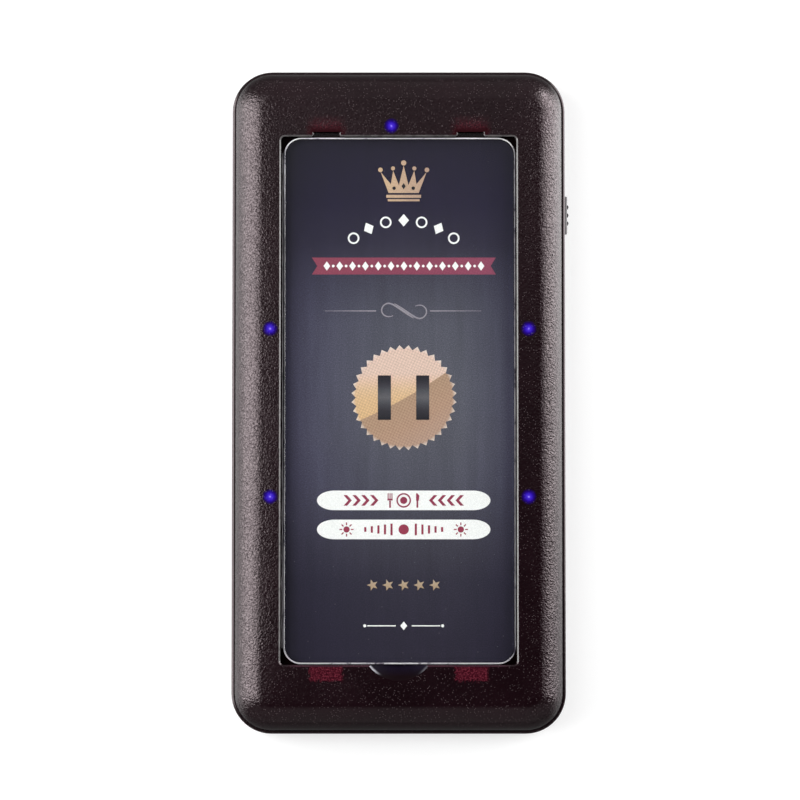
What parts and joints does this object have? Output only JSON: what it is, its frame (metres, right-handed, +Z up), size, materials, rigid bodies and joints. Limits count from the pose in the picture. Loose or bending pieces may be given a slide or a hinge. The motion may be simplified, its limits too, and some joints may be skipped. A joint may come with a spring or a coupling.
{
  "type": "guest pager",
  "caption": "Flat hand-held guest pager with a printed card under a clear window, blue lights in the front, a slide switch in the side and a vibration motor and buzzer inside.",
  "frame": {"origin": "centre of the flat back face, which the pager lies on", "axes": "+Z up out of the front face, +Y to the top end of the card, +X to the side with the switch"},
  "size_m": [0.0672, 0.132, 0.014],
  "materials": {
    "case_plastic": "dark red-brown, slightly see-through, fine grained",
    "clear_plastic": "clear, polished",
    "card_paper": "printed",
    "knob_plastic": "satin black",
    "board_laminate": "green solder mask",
    "light_lens": "blue, lit",
    "foil": "crinkled foil",
    "foam_tape": "matt",
    "connector_plastic": "plain",
    "red_wire": "satin",
    "black_wire": "satin",
    "steel": "plain",
    "heavy_metal": "machined",
    "soft_rubber": "matt",
    "black_plastic": "matt",
    "felt": "fine black mesh",
    "ceramic_body": "matt",
    "can_metal": "bright",
    "contact_gold": "gold flash"
  },
  "bodies": {
    "case": {"front_shell": "case_plastic", "rear_shell": "case_plastic", "card_window": "clear_plastic", "card_insert": "card_paper", "main_board": "board_laminate", "led_top": "light_lens", "led_left_upper": "light_lens", "led_left_lower": "light_lens", "led_right_upper": "light_lens", "led_right_lower": "light_lens", "case_screws": "steel", "board_screws": "steel", "battery_cell": "foil", "battery_tape": "foam_tape", "battery_socket": "connector_plastic", "battery_plug": "connector_plastic", "battery_lead_red": "red_wire", "battery_lead_black": "black_wire", "motor_can": "steel", "motor_boot": "soft_rubber", "motor_lead_red": "red_wire", "motor_lead_black": "black_wire", "buzzer": "black_plastic", "sound_mesh": "felt", "antenna_coil": "black_plastic", "radio_module": "can_metal", "switch_body": "steel", "controller_chip": "black_plastic", "crystal": "can_metal", "charger_chip": "black_plastic", "capacitors": "can_metal", "resistors": "ceramic_body", "charge_pad_left": "contact_gold", "charge_pad_right": "contact_gold", "contact_spring_left": "contact_gold", "contact_spring_right": "contact_gold"},
    "switch": {"switch_slider": "black_plastic", "switch_knob": "knob_plastic"},
    "rotor": {"motor_shaft": "steel", "motor_weight": "heavy_metal"}
  },
  "joints": [
    {"name": "switch_slide", "type": "slide", "parent": "case", "child": "switch", "axis": [0, 1, 0], "range_m": [0, 0.002]},
    {"name": "rotor_spin", "type": "hinge", "parent": "case", "child": "rotor", "pos_m": [-0.016, -0.032, 0.0045], "axis": [1, 0, 0], "continuous": true}
  ]
}
